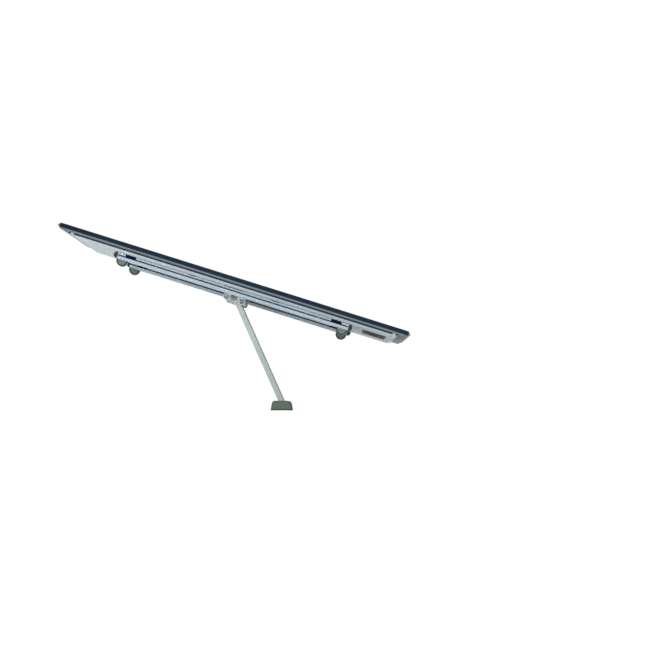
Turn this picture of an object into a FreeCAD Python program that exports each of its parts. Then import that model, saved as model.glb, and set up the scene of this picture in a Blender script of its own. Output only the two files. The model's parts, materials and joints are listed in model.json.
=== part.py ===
"""Swing-arm laptop stand: a thin two-part platform on two rails, carried by one arm that folds flat.

The row frame has its origin under the lower hinge, on the desk. +X points to the user, +Y to the
user's right and +Z up. The stand is stored raised, with the arm leaning back over its foot and the
front edge of the platform low. Each sub-part is drawn lying folded and is then turned to that pose.
"""

import FreeCAD
import Part

import math
import os

V = FreeCAD.Vector

# ---- overall sizes, mm and degrees ----
PLATFORM_LENGTH = 280.0  # front to back
PLATFORM_WIDTH = 260.0  # left to right
ARM_LENGTH = 93.8  # lower hinge axis to upper hinge axis
ARM_WIDTH = 60.0
ARM_ANGLE = 114.0  # raised arm, from the horizontal in front of the foot
PLATFORM_TILT = 17.4  # raised platform, front edge down
PIVOT_HEIGHT = 4.1  # hinge axes above the desk when folded

# ---- clearances ----
RUN_GAP = 0.05  # radial, pin in bush
SIDE_GAP = 0.25  # along a pin, between parts that turn
TURN_GAP = 0.3  # round a barrel that turns in a slot
STOP_GAP = 0.15  # left between the arm and its stops
SEAT_GAP = 0.1  # round an insert in its pocket

# ---- edge breaks ----
FOOT_END_BREAK = 1.2
ARM_EDGE_BREAK = 0.4
RAIL_EDGE_BREAK = 0.35
BRACKET_CORNER_RADIUS = 3.0

# ---- hinges ----
PIN_RADIUS = 1.5
BUSH_WALL = 0.65
BUSH_LENGTH = 10.0
BARREL_WALL = 1.0
DISC_THICKNESS = 1.5
CLIP_THICKNESS = 0.6
PIN_HEAD_RADIUS = 2.5
PIN_HEAD_HEIGHT = 1.0

# ---- arm ----
ARM_ABOVE_PIVOT = 0.9  # the flat face, over the hinge axes when folded
ARM_SKIN = 1.5
ARM_RIM = 3.0  # side walls of the pocket
ARM_COVER_THICKNESS = 1.0
ARM_COVER_LEDGE = 1.2
ARM_END_WALL = 3.5

# ---- foot ----
FOOT_LENGTH = 16.2
FOOT_HEIGHT = 7.7
FOOT_END_LENGTH = 28.0  # each end block, along the hinge
FOOT_CORNER_RADIUS = 2.6
FOOT_SIDE_LEAN = 1.3  # how far each side leans in, up to the corner
FOOT_PAD_THICKNESS = 0.8
DESK_HOLE_RADIUS = 1.6
DESK_HEAD_RADIUS = 2.8
DESK_HEAD_SEAT = 3.4  # the screw heads' seat above the desk
DESK_HOLE_ALONG = 7.0
DESK_HOLE_ACROSS = 100.0
LOWER_PIN_GRIP = 12.0  # how far the lower pin goes into each end block
GRUB_RADIUS = 1.25
GRUB_INSET = 1.0

# ---- rails ----
RAIL_LENGTH = 190.0
RAIL_WIDTH = 16.0
RAIL_HEIGHT = 4.9
RAIL_WALL = 1.1
RAIL_SPACING = 144.0  # centre line to centre line
RAIL_BOTTOM = 1.0  # measured up from the upper hinge axis
RAIL_GROOVE_HEIGHT = 1.1
RAIL_GROOVE_DEPTH = 0.45
RAIL_GROOVE_RISE = 2.15  # groove's lower edge above the rail's underside
WINDOW_LENGTH = 8.6
WINDOW_HEIGHT = 2.75
WINDOW_FROM_END = 11.0  # from the rail's end to the window's centre
CENTRE_SLOT_LENGTH = 16.0
SIDE_SLOT_LENGTH = 6.0
SIDE_SLOT_FROM_CENTRE = 34.0
SLOT_HEIGHT = 0.55

# ---- bumper feet ----
BUMPER_RADIUS = 4.5
BUMPER_WIDTH = 11.0
BUMPER_FROM_END = 5.0  # from the rail's end to the bumper's centre
BUMPER_STEM = 5.0
BUMPER_LIP = 0.8

# ---- platform: under pan and top plate ----
PAN_DEPTH = 2.6
PAN_SKIN = 1.2
PAN_END_INSET = 8.0  # from the top plate's end to the pan's wall
PAN_SIDE_INSET = 12.0
PAN_WALL_HEIGHT = 1.4
PAN_END_TAPER = 4.0
PAN_SIDE_TAPER = 5.0
PAN_LEAST_TAPER = 0.3  # height of the slope, inside and outside
PAN_FLANGE_THICKNESS = 1.0
PAN_FLANGE_WIDTH = 3.0
PLATE_THICKNESS = 4.3
PLATE_SKIN = 1.5
PLATE_RIM = 2.2
PLATE_CORNER_RADIUS = 6.0
PLATE_TOP_ROUND = 0.7
PLATE_UNDER_CHAMFER = 1.2
STRIP_HEIGHT = 2.5
STRIP_PROUD = 1.5
STRIP_TONGUE = 0.9
STRIP_TONGUE_HEIGHT = 1.2
GRIP_WIDTH = 16.0
GRIP_END_MARGIN = 20.0
GRIP_THICKNESS = 0.9
GRIP_PROUD = 0.2
GRIP_FROM_END = 35.0
VENT_LENGTH = 19.0
VENT_WIDTH = 110.0
VENT_FROM_END = 7.0  # from the front of the pan's wall
VENT_SLOTS = 14
VENT_SLOT_WIDTH = 3.2
VENT_LIP = 1.5
VENT_RECESS = 0.4

# ---- bracket ----
BRACKET_LENGTH = 22.0
BRACKET_THICKNESS = 1.2
BRACKET_END_GAP = 2.0  # to the rails
EAR_THICKNESS = 1.5
EAR_REAR = 8.0
EAR_FRONT = 10.5
EAR_ROUND = 3.6
STOP_RADIUS = 1.25
STOP_REACH = 5.9  # along the arm from the upper hinge
RIVET_RADIUS = 0.8
RIVET_HEAD_RADIUS = 1.6
RIVET_HEAD_HEIGHT = 0.8

# ---- screws ----
SCREW_RADIUS = 1.2
SCREW_HEAD_RADIUS = 2.3
SCREW_HEAD_HEIGHT = 1.0
SCREW_BITE = 3.0
BOSS_RADIUS = 3.0
BOSS_HEIGHT = 2.0
SOCKET_RADIUS = 0.8
SOCKET_DEPTH = 0.6
COVER_SCREW_RADIUS = 0.8
COVER_SCREW_HEAD_RADIUS = 1.5
COVER_SCREW_HEAD_HEIGHT = 0.6
COVER_SCREW_BITE = 1.0

# ---- sizes that follow ----
BUSH_RADIUS = PIN_RADIUS + RUN_GAP + BUSH_WALL
BARREL_RADIUS = BUSH_RADIUS + BARREL_WALL
ARM_HALF = ARM_WIDTH / 2
DISC_START = ARM_HALF + SIDE_GAP
DISC_END = DISC_START + DISC_THICKNESS
EAR_START = DISC_END + SIDE_GAP  # inner face of each ear and of each end block
EAR_END = EAR_START + EAR_THICKNESS
ARM_BELOW_PIVOT = BARREL_RADIUS
ARM_COVER_LENGTH = ARM_LENGTH - 2 * (BARREL_RADIUS + ARM_END_WALL)
ARM_COVER_WIDTH = ARM_WIDTH - 2 * ARM_RIM + 2 * ARM_COVER_LEDGE
FOOT_HALF_WIDTH = EAR_START + FOOT_END_LENGTH
BUMPER_FROM_CENTRE = RAIL_LENGTH / 2 - BUMPER_FROM_END
WINDOW_FROM_CENTRE = RAIL_LENGTH / 2 - WINDOW_FROM_END
CAP_PLUG_LENGTH = BUMPER_FROM_END - BUMPER_STEM / 2 - SEAT_GAP  # ends just short of the bumper's stem
BUMPER_CENTRE = BUMPER_RADIUS - PIVOT_HEIGHT  # so that the rounds meet the desk when folded
RAIL_TOP = RAIL_BOTTOM + RAIL_HEIGHT
PAN_BOTTOM = RAIL_TOP
PAN_TOP = PAN_BOTTOM + PAN_DEPTH
PAN_LENGTH = PLATFORM_LENGTH - 2 * PAN_END_INSET
PAN_WIDTH = PLATFORM_WIDTH - 2 * PAN_SIDE_INSET
PLATE_BOTTOM = PAN_TOP
PLATE_TOP = PLATE_BOTTOM + PLATE_THICKNESS
STRIP_LENGTH = PLATFORM_WIDTH - 2 * (PLATE_CORNER_RADIUS + 1.0)
STRIP_BOTTOM = PLATE_TOP - PLATE_TOP_ROUND - STRIP_HEIGHT
BRACKET_WIDTH = RAIL_SPACING - RAIL_WIDTH - 2 * BRACKET_END_GAP
BRACKET_BOTTOM = PAN_BOTTOM - BRACKET_THICKNESS
VENT_CENTRE = PAN_LENGTH / 2 - VENT_FROM_END - VENT_LENGTH / 2
RAIL_LINES = {"left": -RAIL_SPACING / 2, "right": RAIL_SPACING / 2}
RAIL_ENDS = {"front": 1, "rear": -1}

PAN_SCREWS = [
    (sx * (PAN_LENGTH / 2 - 21.0), sy * (PAN_WIDTH / 2 - 18.0)) for sx in (-1, 0, 1) for sy in (-1, 1)
] + [(-PAN_LENGTH / 4, 0.0), (PAN_LENGTH / 6, 0.0)]
RAIL_SCREWS = [(sx * x, y) for sx in (-1, 1) for x in (22.0, 66.0) for y in RAIL_LINES.values()]
BRACKET_SCREWS = [(sx * 6.5, sy * (BRACKET_WIDTH / 2 - 9.0)) for sx in (-1, 1) for sy in (-1, 1)]
DESK_HOLES = [(sx * DESK_HOLE_ALONG / 2, sy * DESK_HOLE_ACROSS / 2) for sx in (-1, 1) for sy in (-1, 1)]

UPPER_AXIS = V(
    ARM_LENGTH * math.cos(math.radians(ARM_ANGLE)),
    0,
    PIVOT_HEIGHT + ARM_LENGTH * math.sin(math.radians(ARM_ANGLE)),
)


# ---- shapes ----
def block(x0, x1, y0, y1, z0, z1):
    return Part.makeBox(x1 - x0, y1 - y0, z1 - z0, V(x0, y0, z0))


def centred_block(length, width, z0, z1, x=0.0, y=0.0):
    return block(x - length / 2, x + length / 2, y - width / 2, y + width / 2, z0, z1)


def rod_y(radius, y0, y1, x=0.0, z=0.0):
    """A round bar along Y."""
    return Part.makeCylinder(radius, y1 - y0, V(x, y0, z), V(0, 1, 0))


def rod_z(radius, z0, z1, x=0.0, y=0.0):
    """A round bar along Z."""
    return Part.makeCylinder(radius, z1 - z0, V(x, y, z0))


def ring_y(outer, inner, y0, y1):
    return rod_y(outer, y0, y1).cut(rod_y(inner, y0 - 1, y1 + 1))


def rounded_block(length, width, z0, z1, radius):
    """A plate with rounded corners in plan."""
    plate = centred_block(length, width, z0, z1)
    return plate.makeFillet(radius, [e for e in plate.Edges if abs(e.tangentAt(e.FirstParameter).z) > 0.9])


def fused(shapes):
    whole = shapes[0].fuse(shapes[1:]) if len(shapes) > 1 else shapes[0]
    return whole.removeSplitter()


def cut_all(shape, tools):
    return shape.cut(tools).removeSplitter() if tools else shape


def both_ends(make, y0, y1):
    """The same shape along Y on the left and on the right of the middle."""
    return [make(-y1, -y0), make(y0, y1)]


def edges_at(shape, z):
    """The edges of a shape that lie flat at one height."""
    return [
        e for e in shape.Edges if abs(e.BoundBox.ZMin - z) < 1e-4 and abs(e.BoundBox.ZMax - z) < 1e-4
    ]


def long_edges(shape):
    """The edges of a shape that run along X."""
    return [e for e in shape.Edges if abs(e.tangentAt(e.FirstParameter).x) > 0.99]


def countersunk_screw(x, y, z, bite, radius, head_radius, head_height):
    """A flat-headed screw that goes up from z, with a socket in its head."""
    head = Part.makeCone(head_radius, radius, head_height, V(x, y, z))
    shank = rod_z(radius, z, z + head_height + bite, x, y)
    socket_top = z + min(SOCKET_DEPTH, head_height * 0.7)
    socket = rod_z(min(SOCKET_RADIUS, head_radius * 0.5), z - 1, socket_top, x, y)
    return fused([head, shank]).cut(socket)


def screw_space(x, y, z, bite, radius, head_radius, head_height):
    """What a countersunk screw removes from the parts that it goes through."""
    head = Part.makeCone(head_radius, radius, head_height, V(x, y, z))
    below = rod_z(head_radius, z - 1, z, x, y)
    return fused([below, head, rod_z(radius, z, z + head_height + bite, x, y)])


# ---- turning each sub-part from the folded pose to the raised one ----
def on_platform(shape):
    """Drawn about the upper hinge axis, lying level."""
    turned = shape.copy()
    turned.rotate(V(0, 0, 0), V(0, 1, 0), PLATFORM_TILT)
    turned.translate(UPPER_AXIS)
    return turned


def on_arm(shape):
    """Drawn about the lower hinge axis, with the arm lying forwards."""
    turned = shape.copy()
    turned.rotate(V(0, 0, 0), V(0, -1, 0), ARM_ANGLE)
    turned.translate(V(0, 0, PIVOT_HEIGHT))
    return turned


def on_desk(shape):
    return shape


# ---- foot ----
def foot_profile():
    """The foot's side view: leaning sides with rounded top corners."""
    half, low, high = FOOT_LENGTH / 2, FOOT_PAD_THICKNESS, FOOT_HEIGHT
    top = half - FOOT_SIDE_LEAN
    points = [V(-half, 0, low), V(half, 0, low), V(top, 0, high), V(-top, 0, high)]
    face = Part.Face(Part.makePolygon(points + [points[0]]))
    bar = face.extrude(V(0, 2 * FOOT_HALF_WIDTH, 0))
    bar.translate(V(0, -FOOT_HALF_WIDTH, 0))
    top = [e for e in edges_at(bar, high) if e.Length > FOOT_LENGTH]
    bar = bar.makeFillet(FOOT_CORNER_RADIUS, top)
    ends = [
        e
        for e in bar.Edges
        if e.BoundBox.YLength < 1e-4
        and abs(abs(e.BoundBox.YMin) - FOOT_HALF_WIDTH) < 1e-4
        and e.BoundBox.ZMax > low + 0.01
    ]
    return bar.makeChamfer(FOOT_END_BREAK, ends)


def arm_slot():
    """The room that the arm's lower end turns in, up to the stop that it leans on when raised."""
    barrel = rod_y(BARREL_RADIUS + TURN_GAP, -EAR_START, EAR_START, 0, PIVOT_HEIGHT)
    front = block(-BARREL_RADIUS, FOOT_LENGTH, -EAR_START, EAR_START, -1, PIVOT_HEIGHT)
    lean = on_arm(
        block(-1, 3 * FOOT_HEIGHT, -EAR_START, EAR_START, -2 * FOOT_LENGTH, ARM_ABOVE_PIVOT + STOP_GAP)
    )
    upper_front = block(0, FOOT_LENGTH, -EAR_START, EAR_START, -1, FOOT_HEIGHT + 1)
    return fused([barrel, front, lean, upper_front])


def foot_casting():
    bores = [rod_y(PIN_RADIUS, y0, y1, 0, PIVOT_HEIGHT) for y0, y1 in pin_grips()]
    screws = [rod_z(DESK_HOLE_RADIUS, -1, FOOT_HEIGHT + 1, x, y) for x, y in DESK_HOLES]
    heads = [rod_z(DESK_HEAD_RADIUS, DESK_HEAD_SEAT, FOOT_HEIGHT + 1, x, y) for x, y in DESK_HOLES]
    grubs = [grub_hole(y) for y in grub_places()]
    return cut_all(foot_profile(), [arm_slot(), *bores, *screws, *heads, *grubs])


def pin_grips():
    """Where the lower pin lies inside the two end blocks."""
    far = EAR_START + LOWER_PIN_GRIP
    return [(-far, -EAR_START + 0.5), (EAR_START - 0.5, far)]


def grub_places():
    middle = EAR_START + LOWER_PIN_GRIP / 2
    return [-middle, middle]


def grub_hole(y):
    outside = V(-FOOT_LENGTH / 2 - 1, y, PIVOT_HEIGHT)
    return Part.makeCylinder(GRUB_RADIUS, FOOT_LENGTH / 2 - PIN_RADIUS + 1, outside, V(1, 0, 0))


def grub_screw(y):
    start = -FOOT_LENGTH / 2 + FOOT_SIDE_LEAN + GRUB_INSET
    length = -PIN_RADIUS - start
    body = Part.makeCylinder(GRUB_RADIUS, length, V(start, y, PIVOT_HEIGHT), V(1, 0, 0))
    socket = Part.makeCylinder(GRUB_RADIUS * 0.5, length * 0.4, V(start, y, PIVOT_HEIGHT), V(1, 0, 0))
    pin = rod_y(PIN_RADIUS, y - 2 * GRUB_RADIUS, y + 2 * GRUB_RADIUS, 0, PIVOT_HEIGHT)
    return body.cut([socket, pin])


def pin_grub_screws():
    return Part.makeCompound([grub_screw(y) for y in grub_places()])


def foot_pad():
    """A thin rubber sheet of the foot's own outline, under it."""
    sheet = centred_block(FOOT_LENGTH, 2 * FOOT_HALF_WIDTH, 0, FOOT_PAD_THICKNESS)
    slot = block(-BARREL_RADIUS, FOOT_LENGTH, -EAR_START, EAR_START, -1, FOOT_PAD_THICKNESS + 1)
    holes = [rod_z(DESK_HOLE_RADIUS, -1, FOOT_PAD_THICKNESS + 1, x, y) for x, y in DESK_HOLES]
    return cut_all(sheet, [slot, *holes])


def lower_hinge_pin():
    far = EAR_START + LOWER_PIN_GRIP
    return rod_y(PIN_RADIUS, -far, far, 0, PIVOT_HEIGHT)


def lower_disc(side):
    disc = ring_y(BARREL_RADIUS, PIN_RADIUS + RUN_GAP, DISC_START, DISC_END)
    disc.translate(V(0, 0, PIVOT_HEIGHT))
    return disc if side > 0 else disc.mirror(V(0, 0, 0), V(0, 1, 0))


# ---- arm ----
def arm_screw_places():
    x = ARM_COVER_LENGTH / 2 - 3.0
    y = ARM_COVER_WIDTH / 2 - 4.0
    return [(ARM_LENGTH / 2 + sx * x, sy * y) for sx in (-1, 1) for sy in (-1, 1)]


def arm_pocket_floor():
    return ARM_ABOVE_PIVOT - ARM_SKIN


def lift_arm():
    """A cast channel between two hinge barrels, open underneath, with a rib and screw posts."""
    under = -ARM_BELOW_PIVOT
    plate = block(0, ARM_LENGTH, -ARM_HALF, ARM_HALF, under, ARM_ABOVE_PIVOT)
    plate = plate.makeChamfer(ARM_EDGE_BREAK, long_edges(plate))
    barrels = [rod_y(BARREL_RADIUS, -ARM_HALF, ARM_HALF, x) for x in (0, ARM_LENGTH)]
    middle = ARM_LENGTH / 2
    pocket_length = ARM_COVER_LENGTH - 2 * ARM_COVER_LEDGE
    pocket_width = ARM_COVER_WIDTH - 2 * ARM_COVER_LEDGE
    pocket = centred_block(pocket_length, pocket_width, under - 1, arm_pocket_floor(), middle)
    seat = centred_block(
        ARM_COVER_LENGTH + 2 * SEAT_GAP,
        ARM_COVER_WIDTH + 2 * SEAT_GAP,
        under - 1,
        under + ARM_COVER_THICKNESS,
        middle,
    )
    ledge = under + ARM_COVER_THICKNESS
    rib = centred_block(pocket_length, ARM_SKIN, ledge, ARM_ABOVE_PIVOT, middle)
    posts = [rod_z(2.0, ledge, ARM_ABOVE_PIVOT, x, y) for x, y in arm_screw_places()]
    body = fused([plate.cut([pocket, seat]), *barrels, rib, *posts])
    bores = [rod_y(BUSH_RADIUS, -ARM_HALF - 1, ARM_HALF + 1, x) for x in (0, ARM_LENGTH)]
    holes = [cover_screw_space(x, y) for x, y in arm_screw_places()]
    return cut_all(body, [*bores, *holes])


def cover_screw_space(x, y):
    return screw_space(
        x, y, -ARM_BELOW_PIVOT, ARM_COVER_THICKNESS - COVER_SCREW_HEAD_HEIGHT + COVER_SCREW_BITE,
        COVER_SCREW_RADIUS, COVER_SCREW_HEAD_RADIUS, COVER_SCREW_HEAD_HEIGHT,
    )


def arm_cover():
    under = -ARM_BELOW_PIVOT
    top = under + ARM_COVER_THICKNESS
    plate = centred_block(ARM_COVER_LENGTH, ARM_COVER_WIDTH, under, top, ARM_LENGTH / 2)
    return cut_all(plate, [cover_screw_space(x, y) for x, y in arm_screw_places()])


def arm_cover_screws():
    bite = ARM_COVER_THICKNESS - COVER_SCREW_HEAD_HEIGHT + COVER_SCREW_BITE
    return Part.makeCompound(
        [
            countersunk_screw(
                x, y, -ARM_BELOW_PIVOT, bite,
                COVER_SCREW_RADIUS, COVER_SCREW_HEAD_RADIUS, COVER_SCREW_HEAD_HEIGHT,
            )
            for x, y in arm_screw_places()
        ]
    )


def bush(x, side):
    sleeve = ring_y(BUSH_RADIUS, PIN_RADIUS + RUN_GAP, ARM_HALF - BUSH_LENGTH, ARM_HALF)
    sleeve = sleeve if side > 0 else sleeve.mirror(V(0, 0, 0), V(0, 1, 0))
    sleeve.translate(V(x, 0, 0))
    return sleeve


# ---- upper hinge ----
def stop_place():
    """The stop pin's centre: the raised arm's underside leans on it, one gap away."""
    angle = math.radians(180 + ARM_ANGLE + PLATFORM_TILT)
    along = V(math.cos(angle), 0, math.sin(angle))
    away = V(-math.sin(angle), 0, math.cos(angle))
    return along * STOP_REACH + away * (ARM_BELOW_PIVOT + STOP_GAP + STOP_RADIUS)


def rivet_place():
    return V(-EAR_REAR + 2.2, 0, -1.2)


def ear(y0, y1):
    """One ear: square at the bracket, rounded under the hinge pin and the stop pin."""
    stop = stop_place()
    rivet = rivet_place()
    top = block(-EAR_REAR, EAR_FRONT, y0, y1, PIN_RADIUS, BRACKET_BOTTOM)
    lobes = [
        rod_y(EAR_ROUND, y0, y1),
        rod_y(STOP_RADIUS + 1.6, y0, y1, stop.x, stop.z),
        rod_y(RIVET_RADIUS + 1.4, y0, y1, rivet.x, rivet.z),
    ]
    web = Part.Face(
        Part.makePolygon(
            [
                V(-EAR_REAR, y0, BRACKET_BOTTOM),
                V(-EAR_REAR, y0, rivet.z),
                V(rivet.x, y0, rivet.z - RIVET_RADIUS - 1.4),
                V(0, y0, -EAR_ROUND),
                V(stop.x, y0, stop.z - STOP_RADIUS - 1.6),
                V(EAR_FRONT, y0, BRACKET_BOTTOM),
                V(-EAR_REAR, y0, BRACKET_BOTTOM),
            ]
        )
    ).extrude(V(0, y1 - y0, 0))
    room = block(-2 * EAR_REAR, 2 * EAR_FRONT, y0 - 1, y1 + 1, -EAR_ROUND, BRACKET_BOTTOM + 1)
    return fused([top, web, *lobes]).common(room)


def hinge_bracket():
    """A pressed plate under the pan, with two ears that hold the hinge pin and the stop pin."""
    plate = rounded_block(BRACKET_LENGTH, BRACKET_WIDTH, BRACKET_BOTTOM, PAN_BOTTOM, BRACKET_CORNER_RADIUS)
    stop, rivet = stop_place(), rivet_place()
    holes = [
        rod_y(PIN_RADIUS, -EAR_END - 1, EAR_END + 1),
        rod_y(STOP_RADIUS, -EAR_END - 1, EAR_END + 1, stop.x, stop.z),
        *both_ends(lambda a, b: rod_y(RIVET_RADIUS, a, b, rivet.x, rivet.z), EAR_START - 1, EAR_END + 1),
    ]
    screws = [bracket_screw_space(x, y) for x, y in BRACKET_SCREWS]
    return cut_all(fused([plate, *both_ends(ear, EAR_START, EAR_END)]), [*holes, *screws])


def upper_hinge_pin():
    shaft = rod_y(PIN_RADIUS, -EAR_END, EAR_END + 2 * CLIP_THICKNESS + 0.6)
    head = rod_y(PIN_HEAD_RADIUS, -EAR_END - PIN_HEAD_HEIGHT, -EAR_END)
    groove = ring_y(PIN_RADIUS + 1, PIN_RADIUS - 0.4, EAR_END, EAR_END + CLIP_THICKNESS)
    return fused([shaft, head]).cut(groove)


def pin_clip():
    """A snap ring in the pin's groove, with a gap to push it on."""
    ring = ring_y(PIN_HEAD_RADIUS, PIN_RADIUS - 0.4, EAR_END, EAR_END + CLIP_THICKNESS)
    return ring.cut(block(-0.8, 0.8, EAR_END - 1, EAR_END + 2, -2 * PIN_HEAD_RADIUS, 0))


def stop_pin():
    stop = stop_place()
    shaft = rod_y(STOP_RADIUS, -EAR_END, EAR_END, stop.x, stop.z)
    heads = both_ends(
        lambda a, b: rod_y(STOP_RADIUS + 0.6, a, b, stop.x, stop.z), EAR_END, EAR_END + RIVET_HEAD_HEIGHT
    )
    return fused([shaft, *heads])


def ear_rivets():
    rivet = rivet_place()
    solids = []
    for y0, y1 in ((-EAR_END, -EAR_START), (EAR_START, EAR_END)):
        outer = (y0 - RIVET_HEAD_HEIGHT, y0) if y0 < 0 else (y1, y1 + RIVET_HEAD_HEIGHT)
        solids.append(
            fused(
                [
                    rod_y(RIVET_RADIUS, y0, y1, rivet.x, rivet.z),
                    rod_y(RIVET_HEAD_RADIUS, *outer, rivet.x, rivet.z),
                ]
            )
        )
    return Part.makeCompound(solids)


def index_disc(side):
    disc = ring_y(BARREL_RADIUS, PIN_RADIUS + RUN_GAP, DISC_START, DISC_END)
    return disc if side > 0 else disc.mirror(V(0, 0, 0), V(0, 1, 0))


# ---- rails ----
def rail(y):
    """A box rail with a groove down each side, end windows, and slots along its upper edge."""
    half = RAIL_WIDTH / 2
    bar = centred_block(RAIL_LENGTH, RAIL_WIDTH, RAIL_BOTTOM, RAIL_TOP, 0, y)
    bar = bar.makeChamfer(RAIL_EDGE_BREAK, long_edges(bar))
    hollow = centred_block(
        RAIL_LENGTH + 2, RAIL_WIDTH - 2 * RAIL_WALL, RAIL_BOTTOM + RAIL_WALL, RAIL_TOP - RAIL_WALL, 0, y
    )
    groove_z = RAIL_BOTTOM + RAIL_GROOVE_RISE
    cuts = [hollow]
    for side in (-1, 1):
        cuts.append(
            centred_block(
                RAIL_LENGTH + 2, 2 * RAIL_GROOVE_DEPTH, groove_z, groove_z + RAIL_GROOVE_HEIGHT,
                0, y + side * half,
            )
        )
        for end in (-1, 1):
            cuts.append(
                centred_block(
                    WINDOW_LENGTH, 3 * RAIL_WALL, RAIL_TOP - WINDOW_HEIGHT, RAIL_TOP + 1,
                    end * WINDOW_FROM_CENTRE, y + side * half,
                )
            )
        for x, length in (
            (0, CENTRE_SLOT_LENGTH),
            (-SIDE_SLOT_FROM_CENTRE, SIDE_SLOT_LENGTH),
            (SIDE_SLOT_FROM_CENTRE, SIDE_SLOT_LENGTH),
        ):
            cuts.append(
                centred_block(length, 1.6 * RAIL_WALL, RAIL_TOP - SLOT_HEIGHT, RAIL_TOP + 1, x, y + side * half)
            )
    for end in (-1, 1):
        cuts.append(
            centred_block(
                BUMPER_STEM, BUMPER_STEM, RAIL_BOTTOM - 1, RAIL_BOTTOM + RAIL_WALL + 0.1,
                end * BUMPER_FROM_CENTRE, y,
            )
        )
    screws = [rail_screw_space(sx, sy) for sx, sy in RAIL_SCREWS if sy == y]
    return cut_all(bar, [*cuts, *screws])


def rail_cap(y, end):
    """A half-round end with a plug that fits inside the rail."""
    x = end * RAIL_LENGTH / 2
    middle = (RAIL_BOTTOM + RAIL_TOP) / 2
    nose = rod_y(RAIL_HEIGHT / 2, y - RAIL_WIDTH / 2, y + RAIL_WIDTH / 2, x, middle)
    outside = block(x, x + RAIL_HEIGHT, y - RAIL_WIDTH, y + RAIL_WIDTH, RAIL_BOTTOM, RAIL_TOP)
    if end < 0:
        outside = block(x - RAIL_HEIGHT, x, y - RAIL_WIDTH, y + RAIL_WIDTH, RAIL_BOTTOM, RAIL_TOP)
    plug_wall = RAIL_WALL + SEAT_GAP
    plug = centred_block(
        CAP_PLUG_LENGTH, RAIL_WIDTH - 2 * plug_wall, RAIL_BOTTOM + plug_wall, RAIL_TOP - plug_wall,
        x - end * CAP_PLUG_LENGTH / 2, y,
    )
    return fused([nose.common(outside), plug])


def bumper_foot(y, end):
    """A half-round rubber foot, pressed into the rail's underside by its stem."""
    x = end * BUMPER_FROM_CENTRE
    disc = rod_y(BUMPER_RADIUS, y - BUMPER_WIDTH / 2, y + BUMPER_WIDTH / 2, x, BUMPER_CENTRE)
    below = centred_block(4 * BUMPER_RADIUS, 2 * BUMPER_WIDTH, -2 * BUMPER_RADIUS, BUMPER_CENTRE, x, y)
    shoulder = centred_block(2 * BUMPER_RADIUS, BUMPER_WIDTH, BUMPER_CENTRE, RAIL_BOTTOM, x, y)
    side = BUMPER_STEM - 2 * SEAT_GAP
    stem = centred_block(side, side, BUMPER_CENTRE, RAIL_BOTTOM + RAIL_WALL + BUMPER_LIP, x, y)
    return fused([disc.common(below), shoulder, stem])


def rail_screw_space(x, y):
    return screw_space(
        x, y, RAIL_BOTTOM, RAIL_HEIGHT - SCREW_HEAD_HEIGHT + SCREW_BITE,
        SCREW_RADIUS, SCREW_HEAD_RADIUS, SCREW_HEAD_HEIGHT,
    )


def rail_screws():
    bite = RAIL_HEIGHT - SCREW_HEAD_HEIGHT + SCREW_BITE
    return Part.makeCompound(
        [
            countersunk_screw(x, y, RAIL_BOTTOM, bite, SCREW_RADIUS, SCREW_HEAD_RADIUS, SCREW_HEAD_HEIGHT)
            for x, y in RAIL_SCREWS
        ]
    )


def bracket_screw_space(x, y):
    return screw_space(
        x, y, BRACKET_BOTTOM, BRACKET_THICKNESS - SCREW_HEAD_HEIGHT + SCREW_BITE,
        SCREW_RADIUS, SCREW_HEAD_RADIUS, SCREW_HEAD_HEIGHT,
    )


def bracket_screws():
    bite = BRACKET_THICKNESS - SCREW_HEAD_HEIGHT + SCREW_BITE
    return Part.makeCompound(
        [
            countersunk_screw(x, y, BRACKET_BOTTOM, bite, SCREW_RADIUS, SCREW_HEAD_RADIUS, SCREW_HEAD_HEIGHT)
            for x, y in BRACKET_SCREWS
        ]
    )


def pan_screw_space(x, y):
    return screw_space(x, y, PAN_BOTTOM, SCREW_BITE, SCREW_RADIUS, SCREW_HEAD_RADIUS, SCREW_HEAD_HEIGHT)


def pan_screws():
    return Part.makeCompound(
        [
            countersunk_screw(x, y, PAN_BOTTOM, SCREW_BITE, SCREW_RADIUS, SCREW_HEAD_RADIUS, SCREW_HEAD_HEIGHT)
            for x, y in PAN_SCREWS
        ]
    )


# ---- under pan ----
def pan_solid(shrink, floor):
    """The pan's outer form, or with a shrink its inner one: a straight wall over a taper."""
    length, width = PAN_LENGTH - 2 * shrink, PAN_WIDTH - 2 * shrink
    knee = max(PAN_TOP - PAN_WALL_HEIGHT, floor + PAN_LEAST_TAPER)

    def outline(inset_x, inset_y, z):
        x, y = length / 2 - inset_x, width / 2 - inset_y
        return Part.makePolygon([V(-x, -y, z), V(x, -y, z), V(x, y, z), V(-x, y, z), V(-x, -y, z)])

    taper = Part.makeLoft([outline(PAN_END_TAPER, PAN_SIDE_TAPER, floor), outline(0, 0, knee)], True, True)
    wall = centred_block(length, width, knee, PAN_TOP)
    return fused([taper, wall])


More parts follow.
